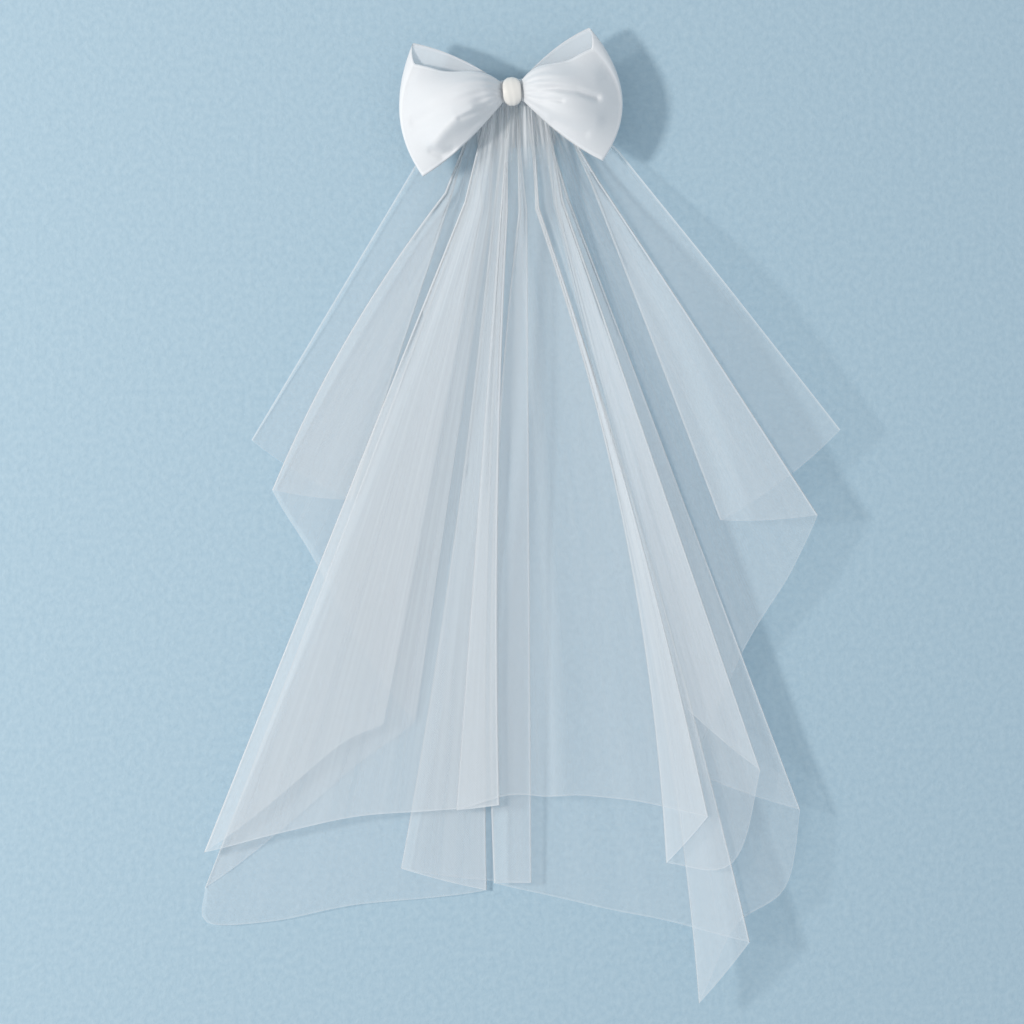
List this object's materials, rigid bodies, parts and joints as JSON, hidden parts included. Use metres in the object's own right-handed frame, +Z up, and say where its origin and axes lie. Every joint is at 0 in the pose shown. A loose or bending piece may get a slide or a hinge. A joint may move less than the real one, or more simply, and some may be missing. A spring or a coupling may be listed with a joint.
{
  "type": "bridal veil hair clip",
  "caption": "Bridal veil hair clip lying face up: tiers of gathered soft white tulle on a clear plastic comb, with an organza bow and an ivory knot at the top.",
  "frame": {"origin": "centre of the bounding box seen from above, on the surface that the veil lies on", "axes": "+Z up from the surface, towards the veil's face; -Y from the comb towards the longest hem; +X to the right as seen from above"},
  "size_m": [0.5574, 0.8538, 0.0576],
  "materials": {
    "tulle": "soft sheer net",
    "organza": "sheer with a soft sheen",
    "ivory_satin": "satin",
    "clear_plastic": "clear and glossy"
  },
  "bodies": {
    "root": {"comb": "clear_plastic", "veil_lower_tier": "tulle", "veil_upper_tier": "tulle", "bow_loop_left": "organza", "bow_loop_right": "organza", "bow_knot": "ivory_satin"}
  },
  "joints": []
}
